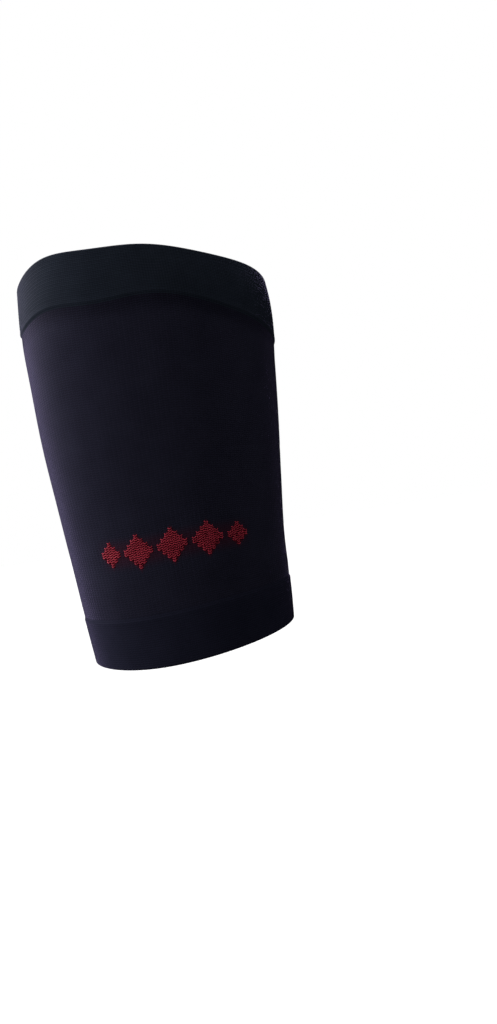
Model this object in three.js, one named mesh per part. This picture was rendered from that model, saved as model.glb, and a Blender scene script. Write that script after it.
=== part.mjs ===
// A knitted compression sleeve in the form it takes on a right thigh: a thin ribbed tube between two turned
// bands, open at both ends. Millimetres. +Z runs up the thigh to the hip, -Y is the front of the thigh and
// +X its inner side. The origin is on the thigh's axis, halfway along the sleeve.
import * as THREE from 'three';

// Driving dimensions: the walls, and the lap where the tube's end runs on inside each band.
const BODY_WALL = 1.2;
const UPPER_BAND_WALL = 2.6;
const LOWER_BAND_WALL = 1.7;
const LAP = 6;
const GAP = 0.3;
const FOOT_CHAMFER = 0.5;

// How finely the knit is cut into facets: around the tube, along it, and over each turned rim.
const FACETS_AROUND = 64;
const ROW_HEIGHT = 12;
const RIM_STEPS = 6;

// The thigh that fills the sleeve, a row for each section from the knee end to the hip end.
const SECTIONS = [
  { height: -126, centreX: 0.0, halfWidth: 60.3 },
  { height: -90, centreX: -0.5, halfWidth: 63.5 },
  { height: -54, centreX: -1.4, halfWidth: 65.7 },
  { height: -18, centreX: -1.2, halfWidth: 69.3 },
  { height: 18, centreX: -0.6, halfWidth: 72.7 },
  { height: 54, centreX: 0.4, halfWidth: 75.4 },
  { height: 90, centreX: 1.1, halfWidth: 76.6 },
  { height: 126, centreX: 0.0, halfWidth: 72.9 },
];

// Each section is a superellipse, a little deeper behind than in front, swollen by three low lobes of muscle.
const SECTION_POWER = 2.2;
const FRONT_DEPTH_SHARE = 0.99;
const BACK_DEPTH_SHARE = 1.05;
const LOBE_COUNT = 3;
const LOBE_SHARE = 0.012;
const FIRST_LOBE_ANGLE = THREE.MathUtils.degToRad(60);

// The knit's four edges, from the knee end up. At an angle counted from the inner side, an edge's height is
// mean + tilt cos(angle) + saddle cos(2 angle) + corner cos(3 angle), plus ripples that are full on the outer
// front, where the knit is gathered, and die away round the thigh.
const EDGES = [
  { name: 'lowerRim', mean: -113.5, tilt: 4.1, saddle: 2.7, corner: -0.4, ripple: 0 },
  { name: 'lowerFoot', mean: -85.5, tilt: 3.5, saddle: 1.6, corner: -0.6, ripple: 0 },
  { name: 'upperFoot', mean: 82.9, tilt: -11.6, saddle: -5.9, corner: -1.3, ripple: 1.9 },
  { name: 'upperRim', mean: 114.2, tilt: -8.7, saddle: -3.9, corner: 1.4, ripple: 1.3 },
];
const RIPPLES_PER_TURN = 6.5;
const RIPPLE_MIDDLE = THREE.MathUtils.degToRad(228);
const meanHeight = Object.fromEntries(EDGES.map((edge) => [edge.name, edge.mean]));

// Sections between the table's rows follow a cubic through them.
const sectionAt = new THREE.CubicInterpolant(
  SECTIONS.map((section) => section.height),
  SECTIONS.flatMap((section) => [section.centreX, section.halfWidth]),
  2,
);

// Distance from a section's centre to the thigh's surface at an angle from the inner side.
function thighRadius(halfWidth, angle) {
  const depthShare = Math.sin(angle) < 0 ? FRONT_DEPTH_SHARE : BACK_DEPTH_SHARE;
  const across = Math.abs(Math.cos(angle)) ** SECTION_POWER;
  const along = Math.abs(Math.sin(angle) / depthShare) ** SECTION_POWER;
  const lobes = 1 + LOBE_SHARE * Math.cos(LOBE_COUNT * (angle - FIRST_LOBE_ANGLE));
  return halfWidth * lobes * (across + along) ** (-1 / SECTION_POWER);
}

function edgeHeight(edge, angle) {
  const tilted = edge.mean + edge.tilt * Math.cos(angle);
  const waved = tilted + edge.saddle * Math.cos(2 * angle) + edge.corner * Math.cos(3 * angle);
  const past = THREE.MathUtils.euclideanModulo(angle - RIPPLE_MIDDLE + Math.PI, 2 * Math.PI) - Math.PI;
  const gathered = (0.5 + 0.5 * Math.cos(past)) ** 2;
  return waved + edge.ripple * gathered * Math.cos(RIPPLES_PER_TURN * past);
}

// A height on the straight tube, where every edge is level, keeps its share of the way between two edges.
function wornHeight(height, angle) {
  const found = EDGES.findIndex((edge) => height < edge.mean);
  const upper = found < 0 ? EDGES.length - 1 : Math.max(found, 1);
  const below = EDGES[upper - 1];
  const above = EDGES[upper];
  const share = (height - below.mean) / (above.mean - below.mean);
  return THREE.MathUtils.lerp(edgeHeight(below, angle), edgeHeight(above, angle), share);
}

// Turns a closed wall profile into a straight tube, then stretches that tube over the thigh. A profile point
// is (distance out from the skin, height), and the straight tube's radius only carries that distance.
const STRAIGHT_RADIUS = 100;

function wornTube(profile) {
  const closed = [...profile, profile[0]];
  const points = closed.map(([out, height]) => new THREE.Vector2(STRAIGHT_RADIUS + out, height));
  const geometry = new THREE.LatheGeometry(points, FACETS_AROUND);
  geometry.rotateX(Math.PI / 2);
  const position = geometry.attributes.position;
  for (let i = 0; i < position.count; i += 1) {
    const angle = Math.atan2(position.getY(i), position.getX(i));
    const out = Math.hypot(position.getX(i), position.getY(i)) - STRAIGHT_RADIUS;
    const height = wornHeight(position.getZ(i), angle);
    const [centreX, halfWidth] = sectionAt.evaluate(height);
    const radius = thighRadius(halfWidth, angle) + out;
    position.setXYZ(i, centreX + radius * Math.cos(angle), radius * Math.sin(angle), height);
  }
  geometry.computeVertexNormals();
  return geometry;
}

// Points up or down one side of a wall, at most a row apart, both ends included.
function wallSide(out, from, to) {
  const count = Math.ceil(Math.abs(to - from) / ROW_HEIGHT);
  return Array.from({ length: count + 1 }, (_, i) => [out, THREE.MathUtils.lerp(from, to, i / count)]);
}

// The tube: one layer of knit, whose ends are hidden in the two bands.
function bodyProfile() {
  const bottom = meanHeight.lowerFoot - LAP;
  const top = meanHeight.upperFoot + LAP;
  return [...wallSide(BODY_WALL, bottom, top), ...wallSide(0, top, bottom)];
}

// A band: knit turned over at its rim, with a lip at its foot that laps over the tube's end.
function bandProfile(wall, foot, rim) {
  const way = Math.sign(rim - foot);
  const fold = wall / 2;
  const lipInside = BODY_WALL + GAP;
  const stop = foot + way * (LAP + GAP);
  const turnedRim = Array.from({ length: RIM_STEPS - 1 }, (_, i) => {
    const turn = (Math.PI * (i + 1)) / RIM_STEPS;
    return [fold + fold * Math.cos(turn), rim - way * fold * (1 - Math.sin(turn))];
  });
  const profile = [
    [lipInside, foot],
    [Math.max(wall - FOOT_CHAMFER, lipInside), foot],
    ...wallSide(wall, foot + way * FOOT_CHAMFER, rim - way * fold),
    ...turnedRim,
    ...wallSide(0, rim - way * fold, stop),
    [lipInside, stop],
  ];
  return way > 0 ? profile : profile.reverse();
}

function knitPiece(name, profile, colour) {
  const material = new THREE.MeshStandardMaterial({ color: colour, roughness: 0.85, metalness: 0 });
  const mesh = new THREE.Mesh(wornTube(profile), material);
  mesh.name = name;
  return mesh;
}

const BODY_COLOUR = '#1f1c26';
const UPPER_BAND_COLOUR = '#272c36';
const LOWER_BAND_COLOUR = '#211f29';

const upperBandProfile = bandProfile(UPPER_BAND_WALL, meanHeight.upperFoot, meanHeight.upperRim);
const lowerBandProfile = bandProfile(LOWER_BAND_WALL, meanHeight.lowerFoot, meanHeight.lowerRim);

const sleeve = new THREE.Group();
sleeve.add(knitPiece('sleeve_body', bodyProfile(), BODY_COLOUR));
sleeve.add(knitPiece('upper_band', upperBandProfile, UPPER_BAND_COLOUR));
sleeve.add(knitPiece('lower_band', lowerBandProfile, LOWER_BAND_COLOUR));

export default sleeve;
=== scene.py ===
"""A knitted compression sleeve, in the form that it takes on a right thigh.

Metres. +Z runs up the thigh to the hip, -Y is the front of the thigh and +X its inner side. The origin is
on the thigh's axis, halfway along the sleeve.
"""
import math

import bpy
import numpy as np
from mathutils import Matrix, Vector


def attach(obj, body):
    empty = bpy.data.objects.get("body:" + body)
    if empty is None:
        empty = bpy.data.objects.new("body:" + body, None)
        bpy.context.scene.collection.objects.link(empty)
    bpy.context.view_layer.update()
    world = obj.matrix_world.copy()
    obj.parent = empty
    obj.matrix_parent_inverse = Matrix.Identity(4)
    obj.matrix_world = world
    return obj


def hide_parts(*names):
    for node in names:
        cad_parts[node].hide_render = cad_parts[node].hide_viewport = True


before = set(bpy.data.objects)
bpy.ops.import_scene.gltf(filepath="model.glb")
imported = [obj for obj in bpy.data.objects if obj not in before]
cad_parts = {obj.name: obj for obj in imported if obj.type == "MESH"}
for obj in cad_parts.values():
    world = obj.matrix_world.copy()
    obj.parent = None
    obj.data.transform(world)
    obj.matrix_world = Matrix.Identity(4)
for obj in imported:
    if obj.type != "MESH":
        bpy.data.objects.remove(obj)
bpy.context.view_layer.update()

# Sleeve body
# The tube that covers the thigh: one layer of elastic nylon, knitted round without a seam in upright ribs.
# It is stretched over the thigh, and each of its ends runs on inside a band.
MM = 0.001
TURN = 2 * math.pi
BODY_WALL = 1.2 * MM
LAP = 6 * MM  # how far its ends run on under the bands
LINKED = 0.8 * MM  # how far they then go on, into the turned knit that they are linked to
LINK_LAP = 1.6 * MM  # how far the lower band's linked edge runs on up the body
WALES = 168  # upright columns of stitches, each a low rib: a coarse gauge, so that they show
COURSE = 1.25 * MM  # height of a row of stitches, coarse in the same way
RIB_HEIGHT = 0.1 * MM
COLUMNS_PER_WALE = 4  # of the mesh
BODY_ROWS = 122  # of the mesh, on the outer face
INSIDE_ROWS = 12

# The thigh that fills the sleeve: height, centre towards the inner side, half width.
THIGH = MM * np.array([
    (-126, 0.0, 60.3),
    (-90, -0.5, 63.5),
    (-54, -1.4, 65.7),
    (-18, -1.2, 69.3),
    (18, -0.6, 72.7),
    (54, 0.4, 75.4),
    (90, 1.1, 76.6),
    (126, 0.0, 72.9),
])
SECTION_POWER = 2.2
FRONT_DEPTH_SHARE = 0.99
BACK_DEPTH_SHARE = 1.05
LOBE_COUNT = 3
LOBE_SHARE = 0.012
FIRST_LOBE_ANGLE = math.radians(60)

# The knit's edges from the knee end up: mean height, tilt, saddle, corner and ripple.
EDGES = MM * np.array([
    (-113.5, 4.1, 2.7, -0.4, 0.0),
    (-85.5, 3.5, 1.6, -0.6, 0.0),
    (82.9, -11.6, -5.9, -1.3, 1.9),
    (114.2, -8.7, -3.9, 1.4, 1.3),
])
RIPPLES_PER_TURN = 6.5
RIPPLE_MIDDLE = math.radians(228)  # on the outer front
LOWER_RIM, LOWER_FOOT, UPPER_FOOT, UPPER_RIM = EDGES[:, 0]


def thigh_section(height):
    """Centre and half width at a height: a cubic through the table's even rows, whose slope at a row is the
    mean of the slopes on both sides of it."""
    table = np.vstack((2 * THIGH[0] - THIGH[1], THIGH, 2 * THIGH[-1] - THIGH[-2]))
    place = (height - THIGH[0, 0]) / (THIGH[1, 0] - THIGH[0, 0])
    row = np.clip(np.floor(place).astype(int), 0, len(THIGH) - 2)
    share = (place - row)[..., None]
    before, low, high, after = (table[row + step, 1:] for step in range(4))
    cubed = 3 * (low - high) + after - before
    squared = 2 * before - 5 * low + 4 * high - after
    found = low + 0.5 * share * (high - before + share * (squared + share * cubed))
    return found[..., 0], found[..., 1]


def thigh_radius(half_width, angle):
    """Skin's distance from a section's centre: a superellipse, deeper behind than in front, times one plus
    the low waves of the muscles' lobes."""
    depth = np.where(np.sin(angle) < 0, FRONT_DEPTH_SHARE, BACK_DEPTH_SHARE)
    across = np.abs(np.cos(angle)) ** SECTION_POWER
    along = np.abs(np.sin(angle) / depth) ** SECTION_POWER
    lobes = 1 + LOBE_SHARE * np.cos(LOBE_COUNT * (angle - FIRST_LOBE_ANGLE))
    return half_width * lobes * (across + along) ** (-1 / SECTION_POWER)


def edge_height(edge, angle):
    """An edge's height: its mean, plus tilt, saddle and corner times the cosines of one, two and three
    angles, plus ripples that are full on the outer front and die away round the thigh."""
    mean, tilt, saddle, corner, ripple = np.moveaxis(EDGES[edge], -1, 0)
    wave = tilt * np.cos(angle) + saddle * np.cos(2 * angle) + corner * np.cos(3 * angle)
    past = (angle - RIPPLE_MIDDLE + math.pi) % TURN - math.pi
    gathered = (0.5 + 0.5 * np.cos(past)) ** 2
    return mean + wave + ripple * gathered * np.cos(RIPPLES_PER_TURN * past)


def worn(out, height, angle):
    """Where a point of the straight tube goes on the thigh: its height keeps its share of the way between
    two edges, and it lies `out` from the skin at its angle from the inner side."""
    out, height, angle = np.broadcast_arrays(out, height, angle)
    below = np.clip(np.searchsorted(EDGES[:, 0], height) - 1, 0, len(EDGES) - 2)
    share = (height - EDGES[below, 0]) / (EDGES[below + 1, 0] - EDGES[below, 0])
    z = edge_height(below, angle) * (1 - share) + edge_height(below + 1, angle) * share
    centre, half_width = thigh_section(z)
    radius = thigh_radius(half_width, angle) + out
    return np.stack((centre + radius * np.cos(angle), radius * np.sin(angle), z), axis=-1)


SHARP_FOLD = math.radians(60)
KNIT_MAP = "OFBake"  # name of the knit's map
FLOATS = "floats"  # attribute: how much of a coloured yarn that runs behind the ground shows through it
PAINTED_SHADE = "painted_shade"  # attribute: painted shade, how much the knit's tone is darkened next to the bands


def knit_wall(name, out, height, angle, relief):
    """A closed wall: its section, the loop of `out` against `height`, is carried round the thigh and joined
    to its start. `relief` is added to `out`. The map runs 0 to 1 round the thigh and 0 to 1 along the
    section, whose length is given back with the piece."""
    points = worn(out[:, None] + relief, height[:, None], angle[None, :])
    rows, columns = points.shape[:2]
    steps = np.hypot(np.roll(out, -1) - out, np.roll(height, -1) - height)
    length = steps.sum()
    row, column = np.meshgrid(np.arange(rows), np.arange(columns), indexing="ij")
    row_corners = np.stack((row, row, row + 1, row + 1), axis=-1)
    column_corners = np.stack((column, column + 1, column + 1, column), axis=-1)
    corners = row_corners % rows * columns + column_corners % columns
    section = np.concatenate(((0,), np.cumsum(steps) / length))
    places = np.stack((column_corners / columns, section[row_corners]), axis=-1)
    mesh = bpy.data.meshes.new(name)
    mesh.vertices.add(rows * columns)
    mesh.vertices.foreach_set("co", points.ravel())
    mesh.loops.add(corners.size)
    mesh.loops.foreach_set("vertex_index", corners.ravel())
    mesh.polygons.add(rows * columns)
    mesh.polygons.foreach_set("loop_start", np.arange(0, corners.size, 4))
    mesh.uv_layers.new(name=KNIT_MAP).uv.foreach_set("vector", places.ravel())
    mesh.update(calc_edges=True)
    mesh.shade_smooth()
    mesh.set_sharp_from_angle(angle=SHARP_FOLD)
    piece = bpy.data.objects.new(name, mesh)
    bpy.context.collection.objects.link(piece)
    return piece, length


def smooth_window(value, start, full):
    """A smooth step from 0 at `start` to 1 at `full`, which may lie on either side of `start`."""
    share = np.clip((value - start) / (full - start), 0, 1)
    return share * share * (3 - 2 * share)


def ribs(angle):
    """Height of the ribs: one rounded wave for each wale, highest at the wale's middle."""
    return RIB_HEIGHT * (0.5 - 0.5 * np.cos(WALES * angle))


SLACK = 0.22 * MM  # how far the stretched knit swells and sinks
SLACK_CLEAR = 12 * MM  # how far from a band's foot it first does so in full
# The swell's waves: share, waves round, slant, start, beat and beat's start. Slant and beat are radians for
# each metre up.
SLACK_WAVES = (
    (1.0, 2, 31, 0.7, 47, 1.1),
    (0.6, 5, -60, 0.0, 38, 2.0),
)
CREASE_DEPTH = 0.35 * MM
CREASE_HALF_HEIGHT = 1.8 * MM
CREASE_HEIGHT = 4.5 * MM  # at its middle, on the inner front
CREASE_RISE = 7.0 * MM  # for each radian towards the inner side
CREASE_FROM, CREASE_MIDDLE, CREASE_TO = np.radians((292, 325, 372))
FOLD_SHARE = 0.35  # how high the knit folds up above the crease, as a share of its depth
FOLD_ABOVE = 2  # how far above, in half heights of the crease


def body_relief(height, angle):
    """Ribs, a slow unevenness of slanting waves times level ones, and one shallow crease over the inner
    front with a low fold above it, both of them bell curves in height."""
    height, angle = np.broadcast_arrays(height, angle)
    free = smooth_window(np.minimum(height - LOWER_FOOT, UPPER_FOOT - height), 0, SLACK_CLEAR)
    swell = 0
    for share, waves, slant, start, beat, beat_start in SLACK_WAVES:
        slanting = np.sin(waves * angle + slant * height + start)
        swell = swell + share * slanting * np.sin(beat * height + beat_start)
    round_on = np.where(angle < CREASE_TO - TURN, angle + TURN, angle)
    line = CREASE_HEIGHT + CREASE_RISE * (round_on - CREASE_MIDDLE)
    beside = (height - line) / CREASE_HALF_HEIGHT
    begun = smooth_window(round_on, CREASE_FROM, CREASE_MIDDLE)
    unended = smooth_window(round_on, CREASE_TO, CREASE_MIDDLE)
    fold = FOLD_SHARE * np.exp(-((beside - FOLD_ABOVE) ** 2))
    crease = begun * unended * (fold - np.exp(-(beside**2)))
    return ribs(angle) + free * (SLACK * swell + CREASE_DEPTH * crease)


def linear(hex_colour):
    """An sRGB hex colour as linear red, green and blue with full alpha, by the standard's own curve."""
    channels = np.array([int(hex_colour[i:i + 2], 16) for i in (1, 3, 5)]) / 255
    low, high = channels / 12.92, ((channels + 0.055) / 1.055) ** 2.4
    return (*np.where(channels <= 0.04045, low, high).tolist(), 1.0)


def add_node(tree, kind, inputs=(), **settings):
    """Adds a node, sets its settings, then fills its inputs with values or with links from outputs."""
    node = tree.nodes.new(kind)
    for name, value in settings.items():
        setattr(node, name, value)
    for socket, value in dict(inputs).items():
        if isinstance(value, bpy.types.NodeSocket):
            tree.links.new(value, node.inputs[socket])
        else:
            node.inputs[socket].default_value = value
    return node


def new_material(name):
    """An empty node material and its tree."""
    material = bpy.data.materials.new(name)
    material.use_nodes = True
    material.node_tree.nodes.clear()
    return material, material.node_tree


# The knit's height, as shares of its relief, and what adds to its tone: the height also darkens the colour,
# as painted shade in the gaps.
GAP_LEVEL = 0.2
BEND_SHARE = 0.3  # the yarn's crown above the gaps, where a stitch bends round
LEG_SHARE = 0.35  # what its legs rise above that
FUZZ_SIZE = 0.9 * MM  # coarser than the yarn's own fuzz, so that it shows
FUZZ_SHARE = 0.25
FILAMENTS_PER_ROW = 5.0  # far fewer than there are, so that they show
FILAMENT_RUN = 0.35  # their noise changes this much across a wale, against 1 up a row
FILAMENT_SHARE = 0.25
MOTTLE_SIZE = 14 * MM  # of the patches in which the knit is a little lighter or darker
MOTTLE_SHARE = 0.35
PAINTED_SHADE_DEPTH = 0.32  # what the tone loses where the painted shade is deepest
FLOAT_YARN = "#480a15"  # red nylon, as it shows from behind the ground


def elastic_knit(name, section_length, yarn, dark_yarn_and_shade, course, vee, relief, sheen):
    """Elastic nylon knit: rows of V stitches, `course` high and one wale wide, whose points hang `vee` rows
    low. Its colour is the yarn's on the crowns and is painted down to a near-black shade in the gaps
    between them as the knit's height falls, on top of patches of lighter and darker tone; next to the bands
    painted shade darkens it further. It has a soft sheen at grazing angles. Where a red yarn floats behind
    the ground its colour shows through."""
    material, tree = new_material(name)
    place = add_node(tree, "ShaderNodeUVMap", uv_map=KNIT_MAP)
    split = add_node(tree, "ShaderNodeSeparateXYZ", {0: place.outputs[0]})
    wale = add_node(tree, "ShaderNodeMath", {0: split.outputs[0], 1: WALES}, operation="MULTIPLY")
    row = add_node(
        tree, "ShaderNodeMath", {0: split.outputs[1], 1: section_length / course}, operation="MULTIPLY"
    )
    across = add_node(tree, "ShaderNodeMath", {0: wale.outputs[0], 1: 0.5}, operation="PINGPONG")
    stitch = add_node(
        tree,
        "ShaderNodeMath",
        {0: across.outputs[0], 1: 2 * vee, 2: row.outputs[0]},
        operation="MULTIPLY_ADD",
    )
    wave = add_node(tree, "ShaderNodeMath", {0: stitch.outputs[0], 1: math.pi}, operation="MULTIPLY")
    rounded = add_node(tree, "ShaderNodeMath", {0: wave.outputs[0]}, operation="SINE")
    crown = add_node(tree, "ShaderNodeMath", {0: rounded.outputs[0]}, operation="ABSOLUTE")
    bend = add_node(tree, "ShaderNodeMath", {0: across.outputs[0], 1: TURN}, operation="MULTIPLY")
    leg = add_node(tree, "ShaderNodeMath", {0: bend.outputs[0]}, operation="SINE")
    legged = add_node(
        tree, "ShaderNodeMath", {0: leg.outputs[0], 1: LEG_SHARE, 2: BEND_SHARE}, operation="MULTIPLY_ADD"
    )
    yarn_height = add_node(
        tree,
        "ShaderNodeMath",
        {0: crown.outputs[0], 1: legged.outputs[0], 2: GAP_LEVEL},
        operation="MULTIPLY_ADD",
    )
    solid = add_node(tree, "ShaderNodeTexCoord").outputs["Object"]
    fuzz = add_node(tree, "ShaderNodeTexNoise", {"Vector": solid, "Scale": 1 / FUZZ_SIZE, "Detail": 3.0})
    along = add_node(tree, "ShaderNodeMath", {0: wale.outputs[0], 1: FILAMENT_RUN}, operation="MULTIPLY")
    lie = add_node(tree, "ShaderNodeCombineXYZ", {0: stitch.outputs[0], 1: along.outputs[0]})
    filaments = add_node(
        tree, "ShaderNodeTexNoise", {"Vector": lie.outputs[0], "Scale": FILAMENTS_PER_ROW, "Detail": 1.0}
    )
    for source, share in ((fuzz, FUZZ_SHARE), (filaments, FILAMENT_SHARE)):
        yarn_height = add_node(
            tree,
            "ShaderNodeMath",
            {0: source.outputs[0], 1: share, 2: yarn_height.outputs[0]},
            operation="MULTIPLY_ADD",
        )
    mottle = add_node(
        tree, "ShaderNodeTexNoise", {"Vector": solid, "Scale": 1 / MOTTLE_SIZE, "Detail": 4.0}
    )
    # Painted shade: the tone is darkened where the body is marked as lying in shade next to the bands.
    painted_shade = add_node(tree, "ShaderNodeAttribute", attribute_name=PAINTED_SHADE)
    tone = yarn_height
    for source, share in ((mottle.outputs[0], MOTTLE_SHARE), (painted_shade.outputs["Fac"], -PAINTED_SHADE_DEPTH)):
        tone = add_node(
            tree, "ShaderNodeMath", {0: source, 1: share, 2: tone.outputs[0]}, operation="MULTIPLY_ADD"
        )
    shade = add_node(
        tree,
        "ShaderNodeMapRange",
        {"Value": tone.outputs[0], "From Min": 0.5, "From Max": 1.3, "To Min": 0.0, "To Max": 1.0},
    )
    # Painted shade: the colour runs from the yarn's own down to a near-black shade as the knit's height
    # falls into its gaps; the mottle adds real tone.
    colour = add_node(
        tree, "ShaderNodeMixRGB", {0: shade.outputs[0], 1: linear(dark_yarn_and_shade), 2: linear(yarn)}, blend_type="MIX"
    )
    floats = add_node(tree, "ShaderNodeAttribute", attribute_name=FLOATS)
    seen = add_node(
        tree,
        "ShaderNodeMixRGB",
        {0: floats.outputs["Fac"], 1: colour.outputs[0], 2: linear(FLOAT_YARN)},
        blend_type="MIX",
    )
    rough = add_node(
        tree,
        "ShaderNodeMapRange",
        {"Value": yarn_height.outputs[0], "From Min": 0.4, "From Max": 1.1, "To Min": 0.92, "To Max": 0.68},
    )
    bump = add_node(
        tree, "ShaderNodeBump", {"Strength": 1.0, "Distance": relief, "Height": yarn_height.outputs[0]}
    )
    cloth = add_node(
        tree,
        "ShaderNodeBsdfPrincipled",
        {
            "Base Color": seen.outputs[0],
            "Roughness": rough.outputs[0],
            "Normal": bump.outputs[0],
            "Specular IOR Level": 0.02,
            "Specular Tint": linear("#b4acff"),
            "Sheen Weight": sheen,
            "Sheen Roughness": 0.3,
            "Sheen Tint": linear("#c4b2f2"),
        },
    )
    add_node(tree, "ShaderNodeOutputMaterial", {0: cloth.outputs[0]})
    return material


# Painted shade on the body: its tone is darkened just below the upper band's foot, for the soft shadow
# under the band, and faintly towards the lower band, where less light falls.
SHADE_BELOW_UPPER = 11 * MM  # where the painted shade below the upper band's foot begins
SHADE_FULL = 1 * MM  # and where it is deepest
SHADE_ABOVE_LOWER = 28 * MM  # where the painted shade above the lower band begins
SHADE_LOWER_SHARE = 0.25

body_bottom = LOWER_FOOT + LINK_LAP - LAP - LINKED
body_top = UPPER_FOOT + LAP + LINKED
body_outer = np.linspace(body_bottom, body_top, BODY_ROWS)
body_inner = np.linspace(body_top, body_bottom, INSIDE_ROWS)
body_height = np.concatenate((body_outer, body_inner))
body_out = np.concatenate((np.full(BODY_ROWS, BODY_WALL), np.zeros(INSIDE_ROWS)))
knit_angle = np.arange(WALES * COLUMNS_PER_WALE) * TURN / (WALES * COLUMNS_PER_WALE)
outer_face = (body_out > 0)[:, None]
body_shape = outer_face * body_relief(body_height[:, None], knit_angle[None, :])
sleeve_body, body_length = knit_wall("sleeve_body_knit", body_out, body_height, knit_angle, body_shape)
# The painted shade next to the bands, stored on the body's points.
painted_below_upper = smooth_window(body_height, UPPER_FOOT - SHADE_BELOW_UPPER, UPPER_FOOT - SHADE_FULL)
painted_above_lower = smooth_window(body_height, LOWER_FOOT + SHADE_ABOVE_LOWER, LOWER_FOOT)
body_painted_shade = np.repeat(np.maximum(painted_below_upper, SHADE_LOWER_SHARE * painted_above_lower), len(knit_angle))
sleeve_body.data.attributes.new(PAINTED_SHADE, "FLOAT", "POINT").data.foreach_set("value", body_painted_shade)
sleeve_body.data.materials.append(
    elastic_knit(
        "black_elastic_nylon_rib_knit", body_length, yarn="#282836", dark_yarn_and_shade="#13131c",
        course=COURSE, vee=0.55, relief=0.15 * MM, sheen=0.75,
    )
)
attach(sleeve_body, "root")
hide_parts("sleeve_body")

# Red figure
# A row of stepped lozenges knitted into the body's front: on those stitches a red nylon yarn comes to the
# face. Along a row it runs on in waves, one to a stitch, and it dives into the ground at the figure's edge.
FIGURE_WALE = 126  # its middle, on the front of the thigh
FIGURE_ROW = 29  # counted up from the lower band
LOZENGES = (  # middle wale, half wales, half rows
    (-15, 2, 5),
    (-8, 3, 7),
    (0, 3, 7),
    (8, 3, 7),
    (15, 2, 5),
)
CHART_WALES = 20
CHART_ROWS = 10
STITCH_RINGS = 13
YARN_SIDES = 8
WAVE_RISE = 0.55  # rows, from a wale's middle to its sides
YARN_HALF_WIDTH = 0.38 * MM
YARN_HALF_DEPTH = 0.32 * MM
YARN_SUNK = 0.1 * MM
YARN_DIVE = 0.55 * MM
DIVE_FROM, DIVE_TO = 0.15, 0.5  # wales from a stitch's middle
WALE_WIDTH = 2.5 * MM  # at the figure
YARN_ROUND = (np.arange(YARN_SIDES) + 0.5) * TURN / YARN_SIDES - math.pi / 2  # from its underside
STRANDS = 6
TWISTS = 3  # turns of the strands along a stitch
FLOAT_SHOW = 0.3  # how much of the red between the lozenges shows through the ground
FLOAT_REACH_FULL, FLOAT_REACH_END = 0.85, 1.2  # shares of a lozenge's reach
FLOAT_ROWS_FULL, FLOAT_ROWS_END = 2, 8  # from the figure's middle
FLOAT_WALES_FULL, FLOAT_WALES_END = 14, 19
CROWN = "crown"  # attribute: how far a point of the yarn is towards its outer side, -1 to 1
TWIST = "twist"  # attribute: an angle that makes a turn from each strand to the next


def lozenge_reach(wale, row):
    """How far a place lies out from each lozenge's middle, 1 at its edge: the shares of the way to its
    points, across and up, added. Its points are half a stitch beyond its last wale and row."""
    middle, half_wales, half_rows = np.array(LOZENGES).T[..., None, None]
    return np.abs(wale - middle) / (half_wales + 0.5) + np.abs(row) / (half_rows + 0.5)


def charted_stitches():
    """The red stitches, those within a lozenge's reach, as wale, row, and marks of those whose left or
    right neighbour isn't red."""
    wale, row = np.meshgrid(
        np.arange(-CHART_WALES, CHART_WALES + 1), np.arange(-CHART_ROWS, CHART_ROWS + 1), indexing="ij"
    )
    red = (lozenge_reach(wale, row) <= 1).any(axis=0)
    left_end = red & ~np.roll(red, 1, axis=0)
    right_end = red & ~np.roll(red, -1, axis=0)
    return wale[red], row[red], left_end[red], right_end[red]


def floats_behind(height, angle):
    """Share of red that shows through the ground: full behind the lozenges, fading over their edges, and
    some of it between them, where the yarn floats across from each lozenge to the next."""
    wale = angle * WALES / TURN - FIGURE_WALE - 0.5
    row = (height - LOWER_FOOT) / COURSE - FIGURE_ROW
    behind = smooth_window(lozenge_reach(wale, row).min(axis=0), FLOAT_REACH_END, FLOAT_REACH_FULL)
    between = smooth_window(np.abs(row), FLOAT_ROWS_END, FLOAT_ROWS_FULL)
    between = between * smooth_window(np.abs(wale), FLOAT_WALES_END, FLOAT_WALES_FULL)
    return np.maximum(behind, FLOAT_SHOW * between)


def stitch_yarn(wale, row, left_end, right_end):
    """A length of yarn across each stitch: its path is one wave of a cosine, lowest at the wale's middle,
    that dives where the figure ends. An ellipse is carried along it, square to the path."""
    wale, row, left_end, right_end = (part[:, None, None] for part in (wale, row, left_end, right_end))
    share = np.linspace(-0.5, 0.5, STITCH_RINGS)[:, None]
    wave = WAVE_RISE * (0.5 - 0.5 * np.cos(TURN * share))
    up = COURSE * WAVE_RISE * math.pi * np.sin(TURN * share)
    side = YARN_HALF_WIDTH * np.cos(YARN_ROUND) / np.hypot(WALE_WIDTH, up)
    place_wale = FIGURE_WALE + wale + 0.5 + share
    angle = (place_wale - side * up / WALE_WIDTH) * TURN / WALES
    height = LOWER_FOOT + (FIGURE_ROW + row + wave + side * WALE_WIDTH / COURSE) * COURSE
    left_dive = left_end * smooth_window(-share, DIVE_FROM, DIVE_TO)
    right_dive = right_end * smooth_window(share, DIVE_FROM, DIVE_TO)
    ground = BODY_WALL + body_relief(height, angle) - ribs(angle) + ribs(place_wale * TURN / WALES)
    underside = ground - YARN_SUNK - YARN_DIVE * (left_dive + right_dive)
    return worn(underside + YARN_HALF_DEPTH * (1 + np.sin(YARN_ROUND)), height, angle)


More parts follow.
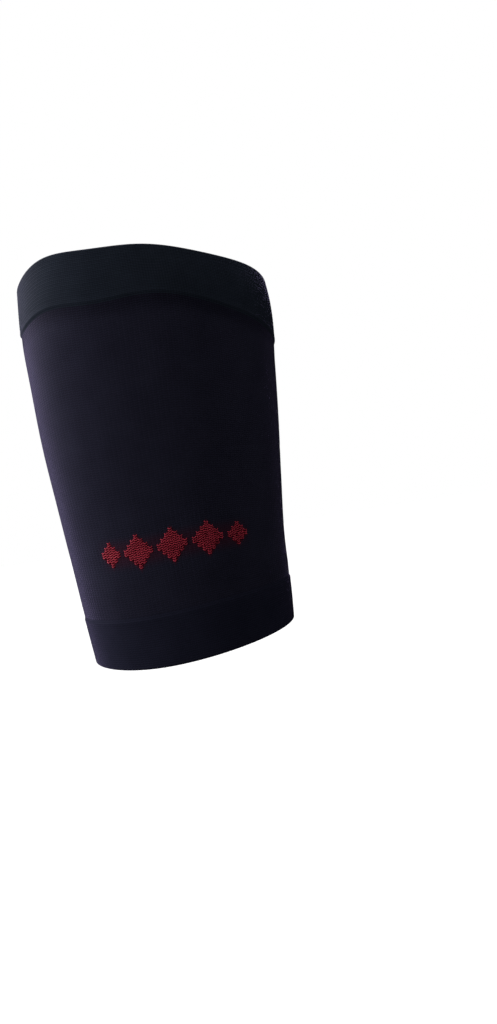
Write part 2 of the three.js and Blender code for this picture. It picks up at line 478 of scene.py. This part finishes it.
def yarn_faces(count):
    """Faces of `count` lengths of yarn: a quad between each two rings, and a many-sided cap on each end."""
    start = np.arange(count)[:, None, None] * STITCH_RINGS * YARN_SIDES
    ring = np.arange(STITCH_RINGS - 1)[:, None] * YARN_SIDES
    spot = np.arange(YARN_SIDES)
    after = (spot + 1) % YARN_SIDES
    sides = (ring + spot, ring + after, ring + YARN_SIDES + after, ring + YARN_SIDES + spot)
    quads = (np.stack(sides, axis=-1)[None] + start[..., None]).reshape(-1, 4)
    first = start[:, 0] + spot[::-1]
    last = start[:, 0] + (STITCH_RINGS - 1) * YARN_SIDES + spot
    return quads.tolist() + first.tolist() + last.tolist()


# What adds to the red yarn's tone, which carries painted highlight and shade.
# painted shade between the strands, which also shapes the bump and roughness
STRAND_SHARE = 0.2
RED_FUZZ_SIZE = 0.5 * MM  # coarser than the yarn's own fuzz, so that it shows
PATCH_SIZE = 6 * MM
PATCH_SHARE = 0.6
# painted highlight along the yarn's crown and painted shade down its sides
CROWN_SHARE = 0.8


def dyed_yarn(name, yarn, dark_yarn_and_shade):
    """Red nylon yarn, twisted from a few strands, with hardly any shine. Its colour carries a painted
    highlight along its crown and painted shade between the strands and down its sides, on top of patches of
    lighter and darker tone."""
    material, tree = new_material(name)
    crown = add_node(tree, "ShaderNodeAttribute", attribute_name=CROWN)
    twist = add_node(tree, "ShaderNodeAttribute", attribute_name=TWIST)
    strand = add_node(tree, "ShaderNodeMath", {0: twist.outputs["Fac"]}, operation="SINE")
    solid = add_node(tree, "ShaderNodeTexCoord").outputs["Object"]
    fuzz = add_node(
        tree, "ShaderNodeTexNoise", {"Vector": solid, "Scale": 1 / RED_FUZZ_SIZE, "Detail": 4.0}
    )
    filaments = add_node(
        tree,
        "ShaderNodeMath",
        {0: strand.outputs[0], 1: STRAND_SHARE, 2: fuzz.outputs[0]},
        operation="MULTIPLY_ADD",
    )
    patches = add_node(
        tree, "ShaderNodeTexNoise", {"Vector": solid, "Scale": 1 / PATCH_SIZE, "Detail": 2.0}
    )
    tone = filaments
    for source, share in ((patches.outputs[0], PATCH_SHARE), (crown.outputs["Fac"], CROWN_SHARE)):
        tone = add_node(
            tree, "ShaderNodeMath", {0: source, 1: share, 2: tone.outputs[0]}, operation="MULTIPLY_ADD"
        )
    shade = add_node(
        tree,
        "ShaderNodeMapRange",
        {"Value": tone.outputs[0], "From Min": 0.9, "From Max": 1.65, "To Min": 0.0, "To Max": 1.0},
    )
    # Painted highlight and shade: the colour runs from the dark shade colour on the yarn's sides and
    # between its strands to the lit red along its crown.
    colour = add_node(
        tree, "ShaderNodeMixRGB", {0: shade.outputs[0], 1: linear(dark_yarn_and_shade), 2: linear(yarn)}, blend_type="MIX"
    )
    rough = add_node(
        tree,
        "ShaderNodeMapRange",
        {"Value": filaments.outputs[0], "From Min": 0.3, "From Max": 0.7, "To Min": 0.75, "To Max": 0.5},
    )
    bump = add_node(
        tree, "ShaderNodeBump", {"Strength": 0.8, "Distance": 0.08 * MM, "Height": filaments.outputs[0]}
    )
    thread = add_node(
        tree,
        "ShaderNodeBsdfPrincipled",
        {
            "Base Color": colour.outputs[0],
            "Roughness": rough.outputs[0],
            "Normal": bump.outputs[0],
            "Specular IOR Level": 0.08,
            "Sheen Weight": 0.06,
            "Sheen Roughness": 0.3,
            "Sheen Tint": linear("#ff9aa6"),
        },
    )
    add_node(tree, "ShaderNodeOutputMaterial", {0: thread.outputs[0]})
    return material


body_floats = outer_face * floats_behind(body_height[:, None], knit_angle[None, :])
sleeve_body.data.attributes.new(FLOATS, "FLOAT", "POINT").data.foreach_set("value", body_floats.ravel())
stitches = stitch_yarn(*charted_stitches())
figure_mesh = bpy.data.meshes.new("red_figure_stitches")
figure_mesh.from_pydata(stitches.reshape(-1, 3).tolist(), [], yarn_faces(len(stitches)))
figure_mesh.shade_smooth()
stitch_crown = np.tile(np.sin(YARN_ROUND), STITCH_RINGS)
stitch_twist = STRANDS * YARN_ROUND + TURN * TWISTS * np.linspace(0, 1, STITCH_RINGS)[:, None]
for attribute_name, stitch_values in ((CROWN, stitch_crown), (TWIST, stitch_twist.ravel())):
    attribute = figure_mesh.attributes.new(attribute_name, "FLOAT", "POINT")
    attribute.data.foreach_set("value", np.tile(stitch_values, len(stitches)))
figure_mesh.materials.append(dyed_yarn("red_nylon_filament_yarn", yarn="#b63648", dark_yarn_and_shade="#30040d"))
red_figure = bpy.data.objects.new("red_figure_stitches", figure_mesh)
bpy.context.collection.objects.link(red_figure)
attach(red_figure, "root")

# Upper band
# A welt at the hip end: the knit is turned over at the rim and linked down double, with elastic laid in its
# rows. It grips hardest, and its foot laps over the body and stands a little proud of it.
GAP = 0.3 * MM
LIP_INSIDE = BODY_WALL + RIB_HEIGHT  # it lies on the ribs
BAND_COLUMNS_PER_WALE = 3
RIM_ROWS = 11
LIP_ROWS = 9
UPPER_WALL = 1.9 * MM
UPPER_LIP = 1.8 * MM
UPPER_ROWS = 110
UPPER_RIB_SHARE = 0.25  # how much of the body's ribs shows on it
ELASTIC_PITCH = 2.0 * MM
ELASTIC_HEIGHT = 0.06 * MM
ELASTIC_RIM_END, ELASTIC_RIM_FULL = 2 * MM, 5 * MM  # below the rim
FOOT_ROLL = 0.12 * MM
FOOT_ROLL_HEIGHT = 2.2 * MM
FOOT_ROLL_HALF_HEIGHT = 1.2 * MM


def turned_band(wall, lip, foot, rim, rows):
    """Section of a turned band, as `out` and `height`, with a mark that is 1 on its face: a smooth step up
    the lip that laps the body, up the face to the rim, half a circle over it, down the inside, and back
    along the lap."""
    way = math.copysign(1, rim - foot)
    fold = wall / 2
    stop = foot + way * (LAP + GAP)
    up_lip = np.linspace(0, 1, LIP_ROWS)[:-1]
    lip_rise = smooth_window(up_lip, 0, 1)
    rim_turn = np.linspace(0, math.pi, RIM_ROWS)[1:-1]
    face = np.linspace(foot + way * lip, rim - way * fold, rows)
    inside = np.linspace(rim - way * fold, stop, INSIDE_ROWS)
    lap = np.linspace(stop, foot, INSIDE_ROWS)[:-1]
    out = (
        LIP_INSIDE + (wall - LIP_INSIDE) * lip_rise,
        np.full(rows, wall),
        fold * (1 + np.cos(rim_turn)),
        np.zeros(INSIDE_ROWS),
        np.full(INSIDE_ROWS - 1, LIP_INSIDE),
    )
    height = (foot + way * lip * up_lip, face, rim - way * fold * (1 - np.sin(rim_turn)), inside, lap)
    on_face = (lip_rise, np.ones(rows), np.zeros(RIM_ROWS - 2 + 2 * INSIDE_ROWS - 1))
    loop = np.stack([np.concatenate(parts) for parts in (out, height, on_face)])
    return loop if way > 0 else loop[:, ::-1]


band_angle = np.arange(WALES * BAND_COLUMNS_PER_WALE) * TURN / (WALES * BAND_COLUMNS_PER_WALE)
band_ribs = ribs(band_angle)[None, :]
upper_out, upper_height, upper_face = turned_band(UPPER_WALL, UPPER_LIP, UPPER_FOOT, UPPER_RIM, UPPER_ROWS)
above_foot = upper_height - UPPER_FOOT
below_rim = UPPER_RIM - upper_height
clear_of_foot = smooth_window(above_foot, UPPER_LIP, 2 * UPPER_LIP)
clear_of_rim = smooth_window(below_rim, ELASTIC_RIM_END, ELASTIC_RIM_FULL)
dips = ELASTIC_HEIGHT * (0.5 - 0.5 * np.cos(TURN * above_foot / ELASTIC_PITCH))
dips = dips * (clear_of_foot * clear_of_rim)
roll = FOOT_ROLL * np.exp(-(((above_foot - FOOT_ROLL_HEIGHT) / FOOT_ROLL_HALF_HEIGHT) ** 2))
upper_shape = upper_face[:, None] * (UPPER_RIB_SHARE * band_ribs + (roll - dips)[:, None])
upper_band, upper_length = knit_wall("upper_band_knit", upper_out, upper_height, band_angle, upper_shape)
upper_band.data.materials.append(
    elastic_knit(
        "blue_black_elastic_welt_knit", upper_length, yarn="#242a33", dark_yarn_and_shade="#10131a",
        course=ELASTIC_PITCH / 2, vee=0.3, relief=0.12 * MM, sheen=0.22,
    )
)
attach(upper_band, "root")
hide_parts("upper_band")

# Lower band
# A flatter welt at the knee end, turned and linked in the same way, in a yarn a little darker than the
# body's. The faint ridge of its linked edge and its rounded rim set it off from the body.
LOWER_WALL = 1.7 * MM
LOWER_ROWS = 64
LOWER_RIB_SHARE = 0.6
LOWER_LIP = 2.6 * MM
LINK_RIDGE = 0.12 * MM
LINK_HALF_HEIGHT = 1.5 * MM

lower_out, lower_height, lower_face = turned_band(
    LOWER_WALL, LOWER_LIP, LOWER_FOOT + LINK_LAP, LOWER_RIM, LOWER_ROWS
)
link = LINK_RIDGE * np.exp(-(((lower_height - LOWER_FOOT) / LINK_HALF_HEIGHT) ** 2))
lower_shape = lower_face[:, None] * (link[:, None] + LOWER_RIB_SHARE * band_ribs)
lower_band, lower_length = knit_wall("lower_band_knit", lower_out, lower_height, band_angle, lower_shape)
lower_band.data.materials.append(
    elastic_knit(
        "black_elastic_welt_knit", lower_length, yarn="#222331", dark_yarn_and_shade="#11121b",
        course=COURSE, vee=0.4, relief=0.13 * MM, sheen=0.4,
    )
)
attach(lower_band, "root")
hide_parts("lower_band")

# Floor
# A wide white light table, as far below the sleeve as the ground is below a standing wearer's thigh.
# It glows evenly white, and neither lights the sleeve nor is mirrored in it.
FLOOR_DROP = 0.62
FLOOR_HALF_SIZE = 30.0
floor_corners = FLOOR_HALF_SIZE * np.array(((-1, -1), (1, -1), (1, 1), (-1, 1)))
floor_mesh = bpy.data.meshes.new("floor")
floor_mesh.from_pydata([(x, y, -FLOOR_DROP) for x, y in floor_corners.tolist()], [], [(0, 1, 2, 3)])
floor_material, floor_tree = new_material("white_light_table_acrylic")
floor_paint = add_node(
    floor_tree,
    "ShaderNodeBsdfPrincipled",
    {
        "Base Color": linear("#f2f2f2"),
        "Roughness": 0.9,
        "Emission Color": linear("#ffffff"),
        "Emission Strength": 0.7,
    },
)
add_node(floor_tree, "ShaderNodeOutputMaterial", {0: floor_paint.outputs[0]})
floor_mesh.materials.append(floor_material)
floor = bpy.data.objects.new("floor", floor_mesh)
floor.visible_diffuse = False
floor.visible_glossy = False
bpy.context.collection.objects.link(floor)

# Light and camera
# Soft lights from the outer side, in front, above the hip and behind, a sun from behind that whitens the
# floor, and a white backdrop that only the camera sees.
# The camera is level with the wearer, and so it is rolled against the leaning thigh.
world = bpy.data.worlds.new("white_studio")
world.use_nodes = True
world.node_tree.nodes.clear()
backdrop = add_node(
    world.node_tree, "ShaderNodeBackground", {"Color": linear("#ffffff"), "Strength": 1.0}
)
add_node(world.node_tree, "ShaderNodeOutputWorld", {0: backdrop.outputs[0]})
world.cycles_visibility.diffuse = False
world.cycles_visibility.glossy = False
bpy.context.scene.world = world
bpy.context.scene.view_settings.view_transform = "Standard"

SOFT_LIGHTS = (  # name, place, size, watts
    ("window_light", (-0.7, 0.22, 0.42), 0.7, 9.8),
    ("front_fill", (-1.6, -0.5, 0.05), 1.0, 22.0),
    ("inner_fill", (1.05, -1.05, 0.45), 1.0, 7.2),
    ("hip_light", (0.0, 0.0, 1.3), 0.5, 12.0),
    ("back_fill", (-0.2, 1.6, 0.3), 0.8, 14.0),
)
for light_name, light_place, light_size, watts in SOFT_LIGHTS:
    lamp = bpy.data.lights.new(light_name, "AREA")
    lamp.shape = "DISK"
    lamp.size = light_size
    lamp.energy = watts
    light = bpy.data.objects.new(light_name, lamp)
    light.location = light_place
    light.rotation_euler = (-Vector(light_place)).to_track_quat("-Z", "Y").to_euler()
    bpy.context.collection.objects.link(light)

SUN_STRENGTH = 2.0
SUN_WIDTH = math.radians(20)
SUN_TILT = math.radians(-40)  # from straight down, so that it shines from behind
sun = bpy.data.lights.new("floor_light", "SUN")
sun.energy = SUN_STRENGTH
sun.angle = SUN_WIDTH
floor_light = bpy.data.objects.new("floor_light", sun)
floor_light.rotation_euler = (SUN_TILT, 0, 0)
bpy.context.collection.objects.link(floor_light)

PHOTO_HEIGHT = 1024
FOCAL_PIXELS = 870
SENSOR_LONG_SIDE = 36.0
CAMERA_PLACE = MM * Vector((44.6, -551.6, -37.6))
CAMERA_ROLL = math.radians(9)
camera_data = bpy.data.cameras.new("camera")
camera_data.lens = SENSOR_LONG_SIDE * FOCAL_PIXELS / PHOTO_HEIGHT
camera_data.sensor_width = SENSOR_LONG_SIDE
camera = bpy.data.objects.new("camera", camera_data)
level_view = Matrix.Rotation(math.pi / 2, 4, "X")
rolled_view = Matrix.Rotation(CAMERA_ROLL, 4, "Y") @ level_view
camera.matrix_world = Matrix.Translation(CAMERA_PLACE) @ rolled_view
bpy.context.collection.objects.link(camera)
bpy.context.scene.camera = camera
